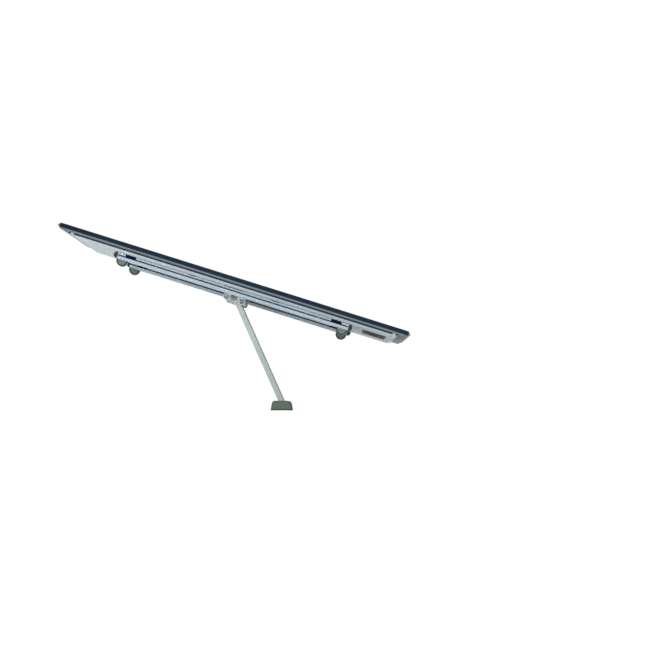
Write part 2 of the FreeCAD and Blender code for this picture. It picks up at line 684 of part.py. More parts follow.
def under_pan():
    """A shallow tapered tray with a flange inside the top plate, screw posts and a vent window."""
    outer = pan_solid(0, PAN_BOTTOM)
    inner = pan_solid(PAN_SKIN, PAN_BOTTOM + PAN_SKIN)
    opening = centred_block(
        PAN_LENGTH - 2 * PAN_SKIN, PAN_WIDTH - 2 * PAN_SKIN, PAN_TOP, PAN_TOP + PAN_FLANGE_THICKNESS + 1
    )
    flange = rounded_block(
        PAN_LENGTH + 2 * PAN_FLANGE_WIDTH, PAN_WIDTH + 2 * PAN_FLANGE_WIDTH,
        PAN_TOP, PAN_TOP + PAN_FLANGE_THICKNESS, PLATE_CORNER_RADIUS / 2,
    )
    floor = PAN_BOTTOM + PAN_SKIN
    posts = [rod_z(BOSS_RADIUS, floor, floor + BOSS_HEIGHT, x, y) for x, y in RAIL_SCREWS + BRACKET_SCREWS]
    tray = fused([fused([outer, flange]).cut([inner, opening]), *posts])
    window = centred_block(
        VENT_LENGTH + 2 * SEAT_GAP, VENT_WIDTH + 2 * SEAT_GAP, PAN_BOTTOM - 1, floor + 0.01, VENT_CENTRE
    )
    spaces = [
        *[rail_screw_space(x, y) for x, y in RAIL_SCREWS],
        *[bracket_screw_space(x, y) for x, y in BRACKET_SCREWS],
        *[pan_screw_space(x, y) for x, y in PAN_SCREWS],
    ]
    return cut_all(tray, [window, *spaces])


def vent_grille():
    """A slotted insert that drops into the pan's window and rests on its floor by a lip."""
    floor = PAN_BOTTOM + PAN_SKIN
    insert = centred_block(VENT_LENGTH, VENT_WIDTH, PAN_BOTTOM + VENT_RECESS, floor, VENT_CENTRE)
    lip_length, lip_width = VENT_LENGTH + 2 * VENT_LIP, VENT_WIDTH + 2 * VENT_LIP
    lip = centred_block(lip_length, lip_width, floor, floor + 0.8, VENT_CENTRE)
    pitch = (VENT_WIDTH - 2.0) / VENT_SLOTS
    slots = [
        centred_block(
            VENT_LENGTH - 4.0, VENT_SLOT_WIDTH, PAN_BOTTOM - 1, floor + 2, VENT_CENTRE,
            (n - (VENT_SLOTS - 1) / 2) * pitch,
        )
        for n in range(VENT_SLOTS)
    ]
    return cut_all(fused([insert, lip]), slots)


# ---- top plate ----
def grip_place(end):
    return end * (PLATFORM_LENGTH / 2 - GRIP_FROM_END)


def grip_pad(end):
    bottom = PLATE_TOP + GRIP_PROUD - GRIP_THICKNESS
    pad = rounded_block(
        GRIP_WIDTH, PLATFORM_WIDTH - 2 * GRIP_END_MARGIN, bottom, PLATE_TOP + GRIP_PROUD,
        GRIP_WIDTH / 2 - 0.5,
    )
    pad.translate(V(grip_place(end), 0, 0))
    return pad


def grip_recess(end):
    bottom = PLATE_TOP + GRIP_PROUD - GRIP_THICKNESS
    recess = rounded_block(
        GRIP_WIDTH + 2 * SEAT_GAP, PLATFORM_WIDTH - 2 * GRIP_END_MARGIN + 2 * SEAT_GAP,
        bottom, PLATE_TOP + 1, GRIP_WIDTH / 2 - 0.5 + SEAT_GAP,
    )
    recess.translate(V(grip_place(end), 0, 0))
    return recess


def strip_tongue(end, gap):
    x = end * PLATFORM_LENGTH / 2
    middle = STRIP_BOTTOM + STRIP_HEIGHT / 2
    reach = STRIP_TONGUE + gap
    height = STRIP_TONGUE_HEIGHT + 2 * gap
    low, high = middle - height / 2, middle + height / 2
    return centred_block(reach, STRIP_LENGTH + 2 * gap, low, high, x - end * reach / 2)


def edge_strip(end):
    """A soft bead along one end of the top plate, held by a tongue in the plate's groove."""
    x = end * PLATFORM_LENGTH / 2
    bead = centred_block(
        STRIP_PROUD, STRIP_LENGTH, STRIP_BOTTOM, STRIP_BOTTOM + STRIP_HEIGHT, x + end * STRIP_PROUD / 2
    )
    outer = [
        e
        for e in bead.Edges
        if abs(e.BoundBox.XMin - e.BoundBox.XMax) < 1e-4
        and e.Length > STRIP_HEIGHT
        and abs(e.BoundBox.XMin - (x + end * STRIP_PROUD)) < 1e-3
    ]
    return fused([bead.makeFillet(STRIP_HEIGHT * 0.35, outer), strip_tongue(end, 0)])


def top_plate():
    """A shallow inverted tray: a flat skin with a rim, and posts for the pan's screws."""
    body = rounded_block(PLATFORM_LENGTH, PLATFORM_WIDTH, PLATE_BOTTOM, PLATE_TOP, PLATE_CORNER_RADIUS)
    body = body.makeFillet(PLATE_TOP_ROUND, edges_at(body, PLATE_TOP))
    body = body.makeChamfer(PLATE_UNDER_CHAMFER, edges_at(body, PLATE_BOTTOM))
    pocket = rounded_block(
        PLATFORM_LENGTH - 2 * PLATE_RIM, PLATFORM_WIDTH - 2 * PLATE_RIM,
        PLATE_BOTTOM - 1, PLATE_TOP - PLATE_SKIN, PLATE_CORNER_RADIUS - PLATE_RIM,
    )
    floor = PAN_BOTTOM + PAN_SKIN
    posts = [rod_z(BOSS_RADIUS, floor, PLATE_TOP - PLATE_SKIN, x, y) for x, y in PAN_SCREWS]
    spine = [
        centred_block(
            PLATFORM_LENGTH - PLATE_RIM, 1.2, PAN_TOP + PAN_FLANGE_THICKNESS, PLATE_TOP - PLATE_SKIN, 0, y
        )
        for y in (-PLATFORM_WIDTH / 6, PLATFORM_WIDTH / 6)
    ]
    shell = fused([body.cut(pocket), *spine, *posts])
    cuts = [grip_recess(end) for end in (-1, 1)] + [strip_tongue(end, SEAT_GAP) for end in (-1, 1)]
    return cut_all(shell, [*cuts, *[pan_screw_space(x, y) for x, y in PAN_SCREWS]])


# ---- every node, with the body that it is drawn on ----
def nodes():
    made = {
        "foot_casting": (on_desk, foot_casting()),
        "foot_pad": (on_desk, foot_pad()),
        "lower_hinge_pin": (on_desk, lower_hinge_pin()),
        "pin_grub_screws": (on_desk, pin_grub_screws()),
        "lift_arm": (on_arm, lift_arm()),
        "arm_cover": (on_arm, arm_cover()),
        "arm_cover_screws": (on_arm, arm_cover_screws()),
        "top_plate": (on_platform, top_plate()),
        "under_pan": (on_platform, under_pan()),
        "vent_grille": (on_platform, vent_grille()),
        "pan_screws": (on_platform, pan_screws()),
        "rail_screws": (on_platform, rail_screws()),
        "hinge_bracket": (on_platform, hinge_bracket()),
        "bracket_screws": (on_platform, bracket_screws()),
        "upper_hinge_pin": (on_platform, upper_hinge_pin()),
        "upper_pin_clip": (on_platform, pin_clip()),
        "stop_pin": (on_platform, stop_pin()),
        "ear_rivets": (on_platform, ear_rivets()),
    }
    for name, side in (("left", -1), ("right", 1)):
        made[f"lower_friction_disc_{name}"] = (on_desk, lower_disc(side))
        made[f"lower_bush_{name}"] = (on_arm, bush(0, side))
        made[f"upper_bush_{name}"] = (on_arm, bush(ARM_LENGTH, side))
        made[f"index_disc_{name}"] = (on_platform, index_disc(side))
    for name, end in RAIL_ENDS.items():
        made[f"edge_strip_{name}"] = (on_platform, edge_strip(end))
        made[f"grip_pad_{name}"] = (on_platform, grip_pad(end))
    for side, y in RAIL_LINES.items():
        made[f"rail_{side}"] = (on_platform, rail(y))
        for name, end in RAIL_ENDS.items():
            made[f"rail_cap_{name}_{side}"] = (on_platform, rail_cap(y, end))
            made[f"bumper_foot_{name}_{side}"] = (on_platform, bumper_foot(y, end))
    return made


def main():
    os.makedirs("parts", exist_ok=True)
    for name, (place, shape) in nodes().items():
        placed = place(shape)
        if not placed.isValid() or not placed.Solids:
            raise ValueError(f"{name} isn't a valid solid")
        placed.exportStep(f"parts/{name}.step")
        print(f"{name}: {len(placed.Solids)} solid(s), {placed.Volume / 1000:.3f} cm3")


main()
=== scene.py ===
# %% [markdown]
# # A folding laptop stand
#
# The stand is a thin navy platform on two pale rails, held up by one arm over a low foot. Its metal
# parts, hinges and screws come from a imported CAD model, and this notebook gives them their finishes and
# adds the small pieces that CAD leaves plain. We start with the frame, because everything else is
# placed by it: each CAD piece already lies where it belongs, and must stay there.

# %% Load the frame
import json
import math

import bmesh
import bpy
from mathutils import Matrix, Vector


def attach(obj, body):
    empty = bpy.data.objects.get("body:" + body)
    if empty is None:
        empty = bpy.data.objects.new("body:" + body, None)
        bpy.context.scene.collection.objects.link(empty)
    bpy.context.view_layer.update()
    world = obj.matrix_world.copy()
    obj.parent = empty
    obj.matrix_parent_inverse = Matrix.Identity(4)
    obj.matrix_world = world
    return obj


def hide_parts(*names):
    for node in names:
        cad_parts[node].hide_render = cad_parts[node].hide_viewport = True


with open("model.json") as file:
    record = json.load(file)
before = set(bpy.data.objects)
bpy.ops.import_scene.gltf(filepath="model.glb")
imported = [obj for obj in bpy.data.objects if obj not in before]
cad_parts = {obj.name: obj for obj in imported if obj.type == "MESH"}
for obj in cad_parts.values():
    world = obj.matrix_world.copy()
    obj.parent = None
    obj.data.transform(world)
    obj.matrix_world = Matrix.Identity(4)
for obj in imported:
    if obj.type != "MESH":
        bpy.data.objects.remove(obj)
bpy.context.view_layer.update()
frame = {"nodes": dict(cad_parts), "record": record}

# %% [markdown]
# ## Two helping frames
#
# The stand is stored raised, so its platform is tilted and its arm leans back. Shaping a tilted piece
# directly is awkward. It is far easier to draw it lying level about its hinge, and to turn the finished
# mesh once. The same turn, undone in a Mapping node, later keeps brush marks in line with the rails.

# %% Where the hinges are
MM = 0.001
ARM_ANGLE = math.radians(114.0)
PLATFORM_TILT = math.radians(17.4)
ARM_LENGTH = 93.8
PIVOT_HEIGHT = 4.1

UPPER_HINGE = Vector(
    (ARM_LENGTH * math.cos(ARM_ANGLE), 0, PIVOT_HEIGHT + ARM_LENGTH * math.sin(ARM_ANGLE))
) * MM
LOWER_HINGE = Vector((0, 0, PIVOT_HEIGHT)) * MM

TO_PLATFORM = Matrix.Translation(UPPER_HINGE) @ Matrix.Rotation(PLATFORM_TILT, 4, "Y")
TO_ARM = Matrix.Translation(LOWER_HINGE) @ Matrix.Rotation(-ARM_ANGLE, 4, "Y")
LEVEL = {"platform": TO_PLATFORM.inverted(), "arm": TO_ARM.inverted(), "foot": Matrix.Identity(4)}
print("upper hinge at", [round(v, 4) for v in UPPER_HINGE])

# %% [markdown]
# ## A way to finish each new piece
#
# Every new piece is drawn in millimetres, level, in a bmesh. One helper then scales it to metres, turns
# it to its body, recalculates its normals, gives it its finish and hangs it on the empty of the body that
# carries it. Placing the mesh, and not the object, keeps the object at the origin, so a
# pattern on Object coordinates doesn't slide when the hinge turns.

# %% Turn a bmesh into a piece that rides on a body
def finish_piece(bm, name, body, material, placed=None, smooth=True, replaces=()):
    bmesh.ops.remove_doubles(bm, verts=bm.verts, dist=1e-5)
    bmesh.ops.recalc_face_normals(bm, faces=bm.faces)
    bm.transform((placed or Matrix.Identity(4)) @ Matrix.Scale(MM, 4))
    mesh = bpy.data.meshes.new(name)
    bm.to_mesh(mesh)
    bm.free()
    piece = bpy.data.objects.new(name, mesh)
    bpy.context.scene.collection.objects.link(piece)
    mesh.materials.append(material)
    if smooth:
        mesh.shade_smooth()
        mesh.set_sharp_from_angle(angle=math.radians(32))
    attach(piece, body)
    if replaces:
        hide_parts(*replaces)
    print(f"{name}: {len(mesh.polygons)} faces on {body}")
    return piece


# %% [markdown]
# ## Patterns that several finishes share
#
# Real metal and plastic are never one even colour. Three effects turn up again and again here: a fine
# grain from powder coat or moulding, long brush marks from finishing metal, and the slow drift of
# handling dust. A fourth group finds the faces below a height, where a pale machined face begins. Each
# group gives out only a mask, and each finish decides what to do with it. They take in a vector that is
# already turned level, because brush marks and heights mean little on a tilted piece.

# %% A helper for node groups
def new_group(name, inputs, outputs):
    group = bpy.data.node_groups.new(name, "ShaderNodeTree")
    for title, kind, value in inputs:
        socket = group.interface.new_socket(name=title, in_out="INPUT", socket_type=kind)
        if value is not None:
            socket.default_value = value
    for title, kind in outputs:
        group.interface.new_socket(name=title, in_out="OUTPUT", socket_type=kind)
    return group, group.nodes.new("NodeGroupInput"), group.nodes.new("NodeGroupOutput")


def ramp(nodes, low, high, low_value=0.0, high_value=1.0):
    """A Map Range node that stretches a narrow band of noise over a wide one."""
    node = nodes.new("ShaderNodeMapRange")
    node.inputs["From Min"].default_value = low
    node.inputs["From Max"].default_value = high
    node.inputs["To Min"].default_value = low_value
    node.inputs["To Max"].default_value = high_value
    return node


# %% Grain: the fine even bumps of powder coat, cast metal and moulded plastic
grain, gin, gout = new_group(
    "fine grain",
    [("Vector", "NodeSocketVector", None), ("Scale", "NodeSocketFloat", 2500.0)],
    [("Grain", "NodeSocketFloat")],
)
fine = grain.nodes.new("ShaderNodeTexNoise")
fine.inputs["Detail"].default_value = 3.0
fine.inputs["Roughness"].default_value = 0.6
grain_map = ramp(grain.nodes, 0.3, 0.7)
grain.links.new(gin.outputs["Vector"], fine.inputs["Vector"])
grain.links.new(gin.outputs["Scale"], fine.inputs["Scale"])
grain.links.new(fine.outputs["Fac"], grain_map.inputs["Value"])
grain.links.new(grain_map.outputs["Result"], gout.inputs["Grain"])
print("group:", grain.name)

# %% Brush marks: noise pulled out fifty times longer than it is wide
brush, bin_, bout = new_group(
    "brush marks",
    [("Vector", "NodeSocketVector", None), ("Scale", "NodeSocketFloat", 3500.0)],
    [("Marks", "NodeSocketFloat")],
)
squeeze = brush.nodes.new("ShaderNodeMapping")
squeeze.inputs["Scale"].default_value = (0.02, 1.0, 1.0)
marks = brush.nodes.new("ShaderNodeTexNoise")
marks.inputs["Detail"].default_value = 4.0
marks.inputs["Roughness"].default_value = 0.7
marks_map = ramp(brush.nodes, 0.28, 0.72)
brush.links.new(bin_.outputs["Vector"], squeeze.inputs["Vector"])
brush.links.new(squeeze.outputs["Vector"], marks.inputs["Vector"])
brush.links.new(bin_.outputs["Scale"], marks.inputs["Scale"])
brush.links.new(marks.outputs["Fac"], marks_map.inputs["Value"])
brush.links.new(marks_map.outputs["Result"], bout.inputs["Marks"])
print("group:", brush.name)

# %% Handling: broad soft patches, for dust and finger marks
handling, hin, hout = new_group(
    "handling", [("Vector", "NodeSocketVector", None)], [("Patches", "NodeSocketFloat")]
)
broad = handling.nodes.new("ShaderNodeTexNoise")
broad.inputs["Scale"].default_value = 28.0
broad.inputs["Detail"].default_value = 5.0
broad.inputs["Distortion"].default_value = 0.6
patch_map = ramp(handling.nodes, 0.35, 0.68)
handling.links.new(hin.outputs["Vector"], broad.inputs["Vector"])
handling.links.new(broad.outputs["Fac"], patch_map.inputs["Value"])
handling.links.new(patch_map.outputs["Result"], hout.inputs["Patches"])
print("group:", handling.name)

# %% Underside: a mask for the faces below a height, where a machined or unpainted face begins
underside, uin, uout = new_group(
    "underside",
    [("Vector", "NodeSocketVector", None), ("Height", "NodeSocketFloat", 0.0)],
    [("Below", "NodeSocketFloat")],
)
split_axes = underside.nodes.new("ShaderNodeSeparateXYZ")
below = underside.nodes.new("ShaderNodeMath")
below.operation = "LESS_THAN"
underside.links.new(uin.outputs["Vector"], split_axes.inputs["Vector"])
underside.links.new(split_axes.outputs["Z"], below.inputs[0])
underside.links.new(uin.outputs["Height"], below.inputs[1])
underside.links.new(below.outputs["Value"], uout.inputs["Below"])
print("group:", underside.name)

# %% [markdown]
# ## Finishes
#
# Most finishes here share one recipe: two close shades of the same colour, mixed by a pattern, the same
# pattern nudging the roughness, and a faint bump. What changes is the pattern and how deep it goes. So
# one function lays out that recipe, and each finish is one call with its own values. Constant numbers
# such as the metallic value are set on the shader itself.

# %% The shared recipe
HANDLING_SHARE = 0.45


def finish(name, body, dark, light, rough, pattern, scale, metallic, bump, specular, under=None):
    """Two shades mixed by a pattern, whose scale is per metre and whose bump is in millimetres.

    rough is a low and a high value, and under is (height in mm, dark, light): other shades below it.
    """
    material = bpy.data.materials.new(name)
    material.use_nodes = True
    nodes, links = material.node_tree.nodes, material.node_tree.links
    shader = nodes["Principled BSDF"]
    shader.inputs["Metallic"].default_value = metallic
    shader.inputs["Specular IOR Level"].default_value = specular
    place = nodes.new("ShaderNodeTexCoord")
    level = nodes.new("ShaderNodeMapping")
    level.inputs["Rotation"].default_value = LEVEL[body].to_euler()
    level.inputs["Location"].default_value = LEVEL[body].translation
    links.new(place.outputs["Object"], level.inputs["Vector"])

    texture = nodes.new("ShaderNodeGroup")
    texture.node_tree = pattern
    texture.inputs["Scale"].default_value = scale
    touch = nodes.new("ShaderNodeGroup")
    touch.node_tree = handling
    links.new(level.outputs["Vector"], texture.inputs["Vector"])
    links.new(level.outputs["Vector"], touch.inputs["Vector"])
    part = nodes.new("ShaderNodeMath")
    part.operation = "MULTIPLY"
    part.inputs[1].default_value = HANDLING_SHARE
    amount = nodes.new("ShaderNodeMath")
    amount.operation = "MULTIPLY_ADD"
    amount.inputs[1].default_value = 1 - HANDLING_SHARE
    links.new(touch.outputs["Patches"], part.inputs[0])
    links.new(texture.outputs[0], amount.inputs[0])
    links.new(part.outputs["Value"], amount.inputs[2])

    def shades(first, second):
        mix = nodes.new("ShaderNodeMix")
        mix.data_type = "RGBA"
        mix.inputs["A"].default_value = (*first, 1)
        mix.inputs["B"].default_value = (*second, 1)
        links.new(amount.outputs["Value"], mix.inputs["Factor"])
        return mix.outputs["Result"]

    colour = shades(dark, light)
    if under:
        split = nodes.new("ShaderNodeGroup")
        split.node_tree = underside
        split.inputs["Height"].default_value = under[0] * MM
        links.new(level.outputs["Vector"], split.inputs["Vector"])
        both = nodes.new("ShaderNodeMix")
        both.data_type = "RGBA"
        links.new(split.outputs["Below"], both.inputs["Factor"])
        links.new(colour, both.inputs["A"])
        links.new(shades(*under[1:]), both.inputs["B"])
        colour = both.outputs["Result"]
    links.new(colour, shader.inputs["Base Color"])

    rougher = ramp(nodes, 0.0, 1.0, *rough)
    links.new(amount.outputs["Value"], rougher.inputs["Value"])
    links.new(rougher.outputs["Result"], shader.inputs["Roughness"])
    raised = nodes.new("ShaderNodeBump")
    raised.inputs["Strength"].default_value = 0.6
    raised.inputs["Distance"].default_value = bump * MM
    links.new(texture.outputs[0], raised.inputs["Height"])
    links.new(raised.outputs["Normal"], shader.inputs["Normal"])
    print(f"finish: {name}")
    return material


# %% [markdown]
# The platform's finishes come first. The plate is anodised navy, but its lower chamfer and underside
# are machined after, so they show pale metal: that is the thin bright line under its edge. The pan is
# pale beneath too, with a dark wall. The rails are anodised extrusions, whose draw lines run along
# them, so their pattern is brushed.

# %% Levels of the platform, in millimetres over the upper hinge
RAIL_BOTTOM, RAIL_TOP = 1.0, 5.9
PAN_BOTTOM, PAN_WALL_BOTTOM, PAN_TOP = 5.9, 7.1, 8.5
PLATE_BOTTOM, PLATE_PALE_TOP, PLATE_TOP = 8.5, 9.45, 12.8
PALE_METAL = ((0.095, 0.115, 0.125), (0.13, 0.155, 0.165))
PALE_PAN = ((0.33, 0.39, 0.42), (0.39, 0.45, 0.48))

# %% Finishes of the platform
NAVY = finish(
    "navy anodised plate", "platform", dark=(0.0032, 0.009, 0.018), light=(0.0062, 0.0145, 0.028),
    rough=(0.45, 0.58), pattern=grain, scale=2600, metallic=0.0, bump=0.012,
    specular=0.08, under=(PLATE_PALE_TOP, *PALE_METAL),
)
SLATE = finish(
    "slate pan", "platform", dark=(0.008, 0.011, 0.022), light=(0.015, 0.019, 0.034),
    rough=(0.45, 0.60), pattern=grain, scale=1400, metallic=0.0, bump=0.012,
    specular=0.15, under=(PAN_WALL_BOTTOM, *PALE_PAN),
)
RAIL = finish(
    "pale anodised rail", "platform", dark=(0.27, 0.335, 0.39), light=(0.35, 0.41, 0.465),
    rough=(0.34, 0.48), pattern=brush, scale=3000, metallic=0.2, bump=0.012,
    specular=0.35,
)
ZINC = finish(
    "zinc plate", "platform", dark=(0.30, 0.33, 0.33), light=(0.46, 0.49, 0.49),
    rough=(0.30, 0.48), pattern=grain, scale=700, metallic=0.4, bump=0.01,
    specular=0.4,
)
# One dark finish. In the rail grooves it is painted shade for the groove's shadow, and on the pan trims
# and bead seats it is their own dark colour.
GROOVE_SHADE_AND_TRIM = finish(
    "painted groove shade and dark trim", "platform", dark=(0.010, 0.018, 0.028), light=(0.018, 0.030, 0.043),
    rough=(0.45, 0.60), pattern=brush, scale=2600, metallic=0.0, bump=0.012,
    specular=0.25,
)

# %% [markdown]
# The arm and foot are castings under a satin paint, a grey with a little green in it. Their grain is
# coarser and deeper than the plate's, because cast metal is never quite smooth below its paint.

# %% Finishes of the arm and foot
ARM_PAINT = finish(
    "arm satin paint", "arm", dark=(0.27, 0.32, 0.295), light=(0.34, 0.395, 0.365),
    rough=(0.40, 0.54), pattern=grain, scale=1300, metallic=0.0, bump=0.02,
    specular=0.3,
)
FOOT_PAINT = finish(
    "foot satin paint", "foot", dark=(0.058, 0.085, 0.066), light=(0.088, 0.122, 0.098),
    rough=(0.42, 0.58), pattern=grain, scale=1100, metallic=0.0, bump=0.04,
    specular=0.3,
)
PIN = finish(
    "ground pin steel", "foot", dark=(0.20, 0.21, 0.215), light=(0.30, 0.31, 0.32),
    rough=(0.18, 0.30), pattern=brush, scale=2400, metallic=1.0, bump=0.006,
    specular=0.5,
)
BLACK_STEEL = finish(
    "black oxide steel", "platform", dark=(0.008, 0.009, 0.011), light=(0.020, 0.022, 0.025),
    rough=(0.30, 0.45), pattern=grain, scale=2200, metallic=0.3, bump=0.01,
    specular=0.4,
)
DISC = finish(
    "plain steel disc", "foot", dark=(0.24, 0.25, 0.26), light=(0.34, 0.35, 0.36),
    rough=(0.28, 0.42), pattern=brush, scale=2600, metallic=0.9, bump=0.008,
    specular=0.5,
)

# %% [markdown]
# Plastics and rubbers reflect much less. Moulded caps keep a low even sheen, while rubber scatters
# almost everything and shows dust, so its roughness is high and its two shades are further apart.

# %% Finishes of the plastic and rubber pieces
# This dark finish is the end caps' own colour. On the bumpers' rims it is painted shade for their rounded
# edge.
CAP_AND_RIM_SHADE = finish(
    "dark green moulding", "platform", dark=(0.008, 0.017, 0.014), light=(0.016, 0.028, 0.024),
    rough=(0.32, 0.46), pattern=grain, scale=2000, metallic=0.0, bump=0.02,
    specular=0.4,
)
BUSH = finish(
    "dark acetal", "arm", dark=(0.022, 0.026, 0.030), light=(0.038, 0.043, 0.048),
    rough=(0.30, 0.42), pattern=grain, scale=2600, metallic=0.0, bump=0.008,
    specular=0.4,
)
VENT = finish(
    "near black moulding", "platform", dark=(0.002, 0.0025, 0.012), light=(0.005, 0.006, 0.022),
    rough=(0.50, 0.65), pattern=grain, scale=1800, metallic=0.0, bump=0.01,
    specular=0.08,
)
BUMPER = finish(
    "grey green rubber", "platform", dark=(0.072, 0.102, 0.088), light=(0.112, 0.150, 0.132),
    rough=(0.60, 0.78), pattern=grain, scale=1500, metallic=0.0, bump=0.03,
    specular=0.3,
)
PAD = finish(
    "near black rubber", "platform", dark=(0.010, 0.013, 0.016), light=(0.022, 0.027, 0.032),
    rough=(0.66, 0.84), pattern=grain, scale=1700, metallic=0.0, bump=0.03,
    specular=0.25,
)
EDGE = finish(
    "grey edge rubber", "platform", dark=(0.16, 0.19, 0.215), light=(0.23, 0.265, 0.29),
    rough=(0.55, 0.72), pattern=grain, scale=1700, metallic=0.0, bump=0.02,
    specular=0.3,
)

# %% [markdown]
# ## Give each CAD piece its finish
#
# The frame imports every CAD piece with a plain material named by its record slot. Rather than touch
# any mesh, we put a finish in place of each slot's material.

# %% Put the finishes on the CAD pieces
FINISH_OF_SLOT = {
    "navy_plate": NAVY, "slate_pan": SLATE, "rail_aluminium": RAIL, "arm_grey": ARM_PAINT,
    "foot_green": FOOT_PAINT, "zinc_bracket": ZINC, "pin_steel": PIN, "black_screws": BLACK_STEEL,
    "bush_acetal": BUSH, "disc_steel": DISC, "cap_green": CAP_AND_RIM_SHADE, "bumper_rubber": BUMPER,
    "pad_rubber": PAD, "edge_rubber": EDGE, "vent_dark": VENT,
}
slot_of_node = {entry["node"]: entry["material_slot"] for entry in frame["record"]["subparts"]}
for node, piece in frame["nodes"].items():
    piece.data.materials.clear()
    piece.data.materials.append(FINISH_OF_SLOT[slot_of_node[node]])
print(len(frame["nodes"]), "CAD pieces finished")

# %% [markdown]
# ## Painted groove shade
#
# Each rail has a groove along both sides, and the dark strip laid in it is painted shade. It stands in
# for the shadow in the groove, so from the side the rail reads as three bands: light, dark, light. The
# shade could be a colour in the rail's finish, but a strip sits a little back and catches its own shadow
# too. Each one is a stretched cube with bevelled edges, and it stops short of the rail's end windows.

# %% A bevelled bar, the base of several pieces
def bar(bm, x0, x1, y0, y1, z0, z1, round_by=0.0, segments=2):
    made = bmesh.ops.create_cube(bm, size=1.0)["verts"]
    bmesh.ops.scale(bm, vec=(x1 - x0, y1 - y0, z1 - z0), verts=made)
    bmesh.ops.translate(bm, vec=((x0 + x1) / 2, (y0 + y1) / 2, (z0 + z1) / 2), verts=made)
    if round_by:
        edges = list({edge for vert in made for edge in vert.link_edges})
        bmesh.ops.bevel(
            bm, geom=edges, offset=round_by, affect="EDGES", segments=segments, profile=0.5, material=-1
        )


# %% Painted shade strips in the rail grooves
RAIL_LINES = {"left": -72.0, "right": 72.0}
RAIL_HALF_WIDTH, RAIL_HALF_LENGTH = 8.0, 95.0
WINDOW_FROM, WINDOW_TO = 79.7, 88.3
GROOVE_BOTTOM, GROOVE_TOP = RAIL_BOTTOM + 2.15, RAIL_BOTTOM + 3.25
SHADE_STRIP_BACK, SHADE_STRIP_FRONT = RAIL_HALF_WIDTH - 0.42, RAIL_HALF_WIDTH - 0.12
STRETCHES = (
    (-RAIL_HALF_LENGTH + 1, -WINDOW_TO - 0.1),
    (-WINDOW_FROM + 0.1, WINDOW_FROM - 0.1),
    (WINDOW_TO + 0.1, RAIL_HALF_LENGTH - 1),
)
# These dark strips are painted shade, standing in for the shadow inside each groove.
for side, line in RAIL_LINES.items():
    bm = bmesh.new()
    for face in (-1, 1):
        y0, y1 = sorted((line + face * SHADE_STRIP_BACK, line + face * SHADE_STRIP_FRONT))
        for x0, x1 in STRETCHES:
            bar(bm, x0, x1, y0, y1, GROOVE_BOTTOM + 0.06, GROOVE_TOP - 0.06, 0.08)
    finish_piece(bm, f"rail_groove_shade_{side}", "platform", GROOVE_SHADE_AND_TRIM, TO_PLATFORM)

# %% [markdown]
# ## Window latches
#
# Behind each window near a rail's end sits a nearly black moulded latch, which the bumper's stem clips
# into. Its face is finned so that a finger can push it. A block inside the rail, a face plate that fills
# the window and a row of thin fins give that: the fins make the dark window look cut, and not painted.

# %% Latches
for side, line in RAIL_LINES.items():
    bm = bmesh.new()
    for end in (-1, 1):
        middle = end * (WINDOW_FROM + WINDOW_TO) / 2
        low, high = RAIL_BOTTOM + 2.0, RAIL_TOP - 1.2
        bar(bm, middle - 4.9, middle + 4.9, line - 6.3, line + 6.3, low, high, 0.2)
        for face in (-1, 1):
            y0, y1 = sorted((line + face * 6.2, line + face * 7.35))
            bar(bm, middle - 4.25, middle + 4.25, y0, y1, RAIL_BOTTOM + 2.2, RAIL_TOP - 0.05, 0.1)
            for step in range(-5, 6):
                x = middle + step * 0.75
                y0, y1 = sorted((line + face * 7.25, line + face * 7.65))
                bar(bm, x - 0.16, x + 0.16, y0, y1, RAIL_BOTTOM + 2.35, RAIL_TOP - 0.2, 0.05, 1)
    finish_piece(bm, f"window_latch_{side}", "platform", VENT, TO_PLATFORM)

# %% [markdown]
# ## Slot liners
#
# The rails have thin slots along their upper edge, a long one at the middle and two short ones. They
# show as black lines because a dark strip lies inside the rail behind them.

# %% Liners
for side, line in RAIL_LINES.items():
    bm = bmesh.new()
    for face in (-1, 1):
        y0, y1 = sorted((line + face * 7.25, line + face * 7.75))
        for middle, half in ((0.0, 7.8), (-34.0, 2.8), (34.0, 2.8)):
            bar(bm, middle - half, middle + half, y0, y1, RAIL_TOP - 0.52, RAIL_TOP - 0.04, 0.06)
    finish_piece(bm, f"slot_liner_{side}", "platform", VENT, TO_PLATFORM)

# %% [markdown]
# ## Cap gaskets
#
# A thin black band closes the joint between each rail and its rounded end cap. It is a sleeve: a cube
# with its two ends taken off, then given a wall by solidify. It stands a little proud of the rail.

# %% Gaskets
for side, line in RAIL_LINES.items():
    bm = bmesh.new()
    for end in (-1, 1):
        made = bmesh.ops.create_cube(bm, size=1.0)["verts"]
        size = (0.9, 2 * RAIL_HALF_WIDTH + 0.3, RAIL_TOP - RAIL_BOTTOM + 0.13)
        centre = (end * (RAIL_HALF_LENGTH - 0.1), line, (RAIL_TOP + RAIL_BOTTOM) / 2 - 0.085)
        bmesh.ops.scale(bm, vec=size, verts=made)
        bmesh.ops.translate(bm, vec=centre, verts=made)
        faces = {face for vert in made for face in vert.link_faces}
        ends = [face for face in faces if abs(face.normal.x) > 0.9]
        walls = [face for face in faces if face not in ends]
        bmesh.ops.delete(bm, geom=ends, context="FACES_ONLY")
        bmesh.ops.solidify(bm, geom=walls, thickness=0.13)
    finish_piece(
        bm, f"cap_gasket_{side}", "platform", BLACK_STEEL, TO_PLATFORM, smooth=False
    )

# %% [markdown]
# ## Pan trims
#
# A dark moulded trim runs along each long side of the pan, with a fine line down its middle and a small
# pale stop at each end. The line is a real groove: the trim's outer face is cut twice along its length,
# and the narrow middle face is pushed in.

